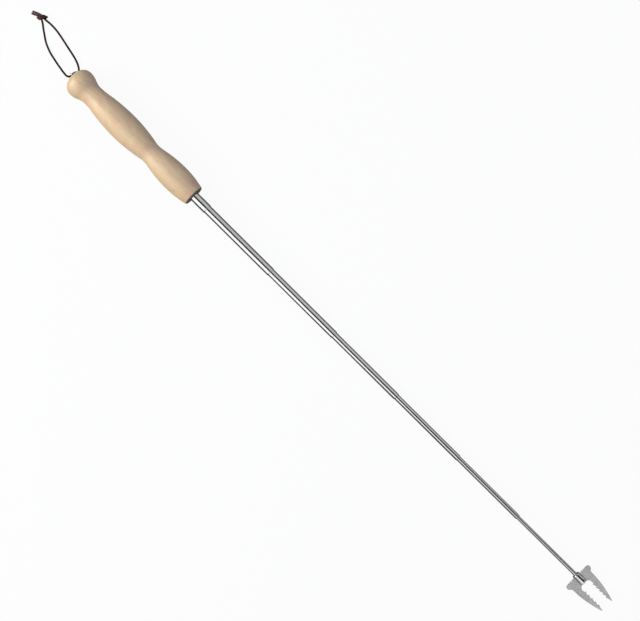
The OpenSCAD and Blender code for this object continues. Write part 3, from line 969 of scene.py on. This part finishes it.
def reflected_card(name, corners, level):
    """A card that only reflections see, with one grey level."""
    material = bpy.data.materials.new(name)
    tree = NodeTree(material, empty=True)
    tree.show(tree.add("ShaderNodeEmission", {}, {"Color": (level, level, level), "Strength": 1.0}))
    card = flat_card(name, corners, material)
    card.visible_camera = card.visible_diffuse = card.visible_shadow = card.visible_transmission = False


def on_circle(x, angle):
    """A point of the circle round the fork's axis at x."""
    turn = math.radians(angle)
    return x, CARD_DISTANCE * math.sin(turn), CARD_DISTANCE * math.cos(turn)


def card_strips(name, stations, level):
    """Cards along X. Each station is (x, first angle, second angle), and a card joins it to the next one."""
    for i, (here, there) in enumerate(zip(stations, stations[1:])):
        reflected_card(f"{name}_{i}", [
            on_circle(here[0], here[1]), on_circle(there[0], there[1]),
            on_circle(there[0], there[2]), on_circle(here[0], here[2]),
        ], level)


print("cards stand at", CARD_DISTANCE, "m")

# %% [markdown]
# A tube at some place reflects the cards about 0.5 m further out for every 0.35 m that it lies from the
# camera's axis, so the cards can change along X to suit each section. The stations below are where they do.

# %% Cards along the tubes
CEILING = [
    (-2.0, -17, 24), (0.1, -17, 24), (0.3, -24, 22), (0.6, -23, 31), (0.75, -18, 40), (0.98, -13, 50),
    (1.203, -8, 60),
]
WHITE_TO = [-82, -82, -73, -53, -53, -53, -54]
WHITE_LEVEL = [1.3, 1.3, 1.3, 1.25, 0.95, 0.78]
GREY_TO = 84
NEAR_FROM, NEAR_TO = -0.35, -91

card_strips("ceiling_card", CEILING, 0.03)
for i, level in enumerate(WHITE_LEVEL):
    stations = [(x, near - 2, to) for (x, near, _), to in zip(CEILING[i:i + 2], WHITE_TO[i:i + 2])]
    card_strips(f"white_card_{i}", stations, level)
near_stations = [(max(x, NEAR_FROM), to - 1, NEAR_TO) for (x, _, _), to in zip(CEILING, WHITE_TO)]
card_strips("near_card", near_stations, 0.07)
card_strips("grey_card", [(x, far + 2, GREY_TO) for x, _, far in CEILING], 0.60)
print("stations of the cards:", len(CEILING))

# %% [markdown]
# The socket and the fork reflect what is in front of the last tube: a white card, a grey one and two dark
# ones, placed for the socket. Two cards stand across the fork's line, far in front, for the rolled edges of
# the tubes, and two far behind, so that the steel isn't all white when it is seen from the front. A bright
# one stands on the side of the key lamp, for the sheen of the handle.

# %% Cards in front and behind
FRONT_X = 1.205
END_X, REAR_X, END_HALF = 2.5, -2.5, 2
LAMP_CARD = [(-1.7, -0.9, 0.5), (-1.2, -1.5, 0.5), (-0.8, -1.0, 1.3), (-1.3, -0.4, 1.3)]

for name, end_x, first, second, level in (
    ("front_dark_card", 1.37, 18, 48, 0.01),
    ("front_white_card", 1.37, -18, 16, 1.6),
    ("front_grey_card", 1.37, -19, -70, 0.50),
    ("front_far_card", 1.45, 62, 91, 0.03),
):
    card_strips(name, [(FRONT_X, first, second), (end_x, first, second)], level)
for name, x, low, high, level in (
    ("end_card_low", END_X, 0, 0.9, 0.05),
    ("end_card_high", END_X, 0.9, 2.1, 0.35),
    ("rear_card_low", REAR_X, 0, 0.8, 0.15),
    ("rear_card_high", REAR_X, 0.8, 1.9, 0.40),
):
    reflected_card(name, [
        (x, -END_HALF, low), (x, END_HALF, low), (x, END_HALF, high), (x, -END_HALF, high),
    ], level)
reflected_card("lamp_card", LAMP_CARD, 9.0)
print("front cards start at", FRONT_X, "m")

# %% [markdown]
# Seen from the side, the tubes reflect the table as well. A dark card rises from the table on each side, and
# a narrow one lies on it under the tubes, where the real table is in their shade.

# %% Low cards
SIDES = (("far", 1, 0.15, 0.15, -1.2), ("near", -1, 0.12, 0.16, -0.35))
LOW_FROM, LOW_TO, LOW_FRONT = 0.020, 1.2, 1.6
UNDER_REAR, UNDER_FRONT, UNDER_HALF, UNDER_LIFT = 0.004, 0.80, 0.021, 0.0003

under_rear_z = table_height(UNDER_REAR) + UNDER_LIFT
under_front_z = table_height(UNDER_FRONT) + UNDER_LIFT
for name, side, level, rise, rear in SIDES:
    reflected_card(f"low_card_{name}", [
        (rear, side * LOW_FROM, table_height(rear)), (LOW_FRONT, side * LOW_FROM, table_height(LOW_FRONT)),
        (LOW_FRONT, side * LOW_TO, rise), (rear, side * LOW_TO, rise),
    ], level)
    reflected_card(f"under_card_{name}", [
        (UNDER_REAR, 0, under_rear_z), (UNDER_FRONT, 0, under_front_z),
        (UNDER_FRONT, side * UNDER_HALF, under_front_z), (UNDER_REAR, side * UNDER_HALF, under_rear_z),
    ], level)
print("low cards:", [name for name, *_ in SIDES])

# %% [markdown]
# ## Finish
# The colours are shown without any film look.

# %% Finish
bpy.context.scene.view_settings.view_transform = "Standard"
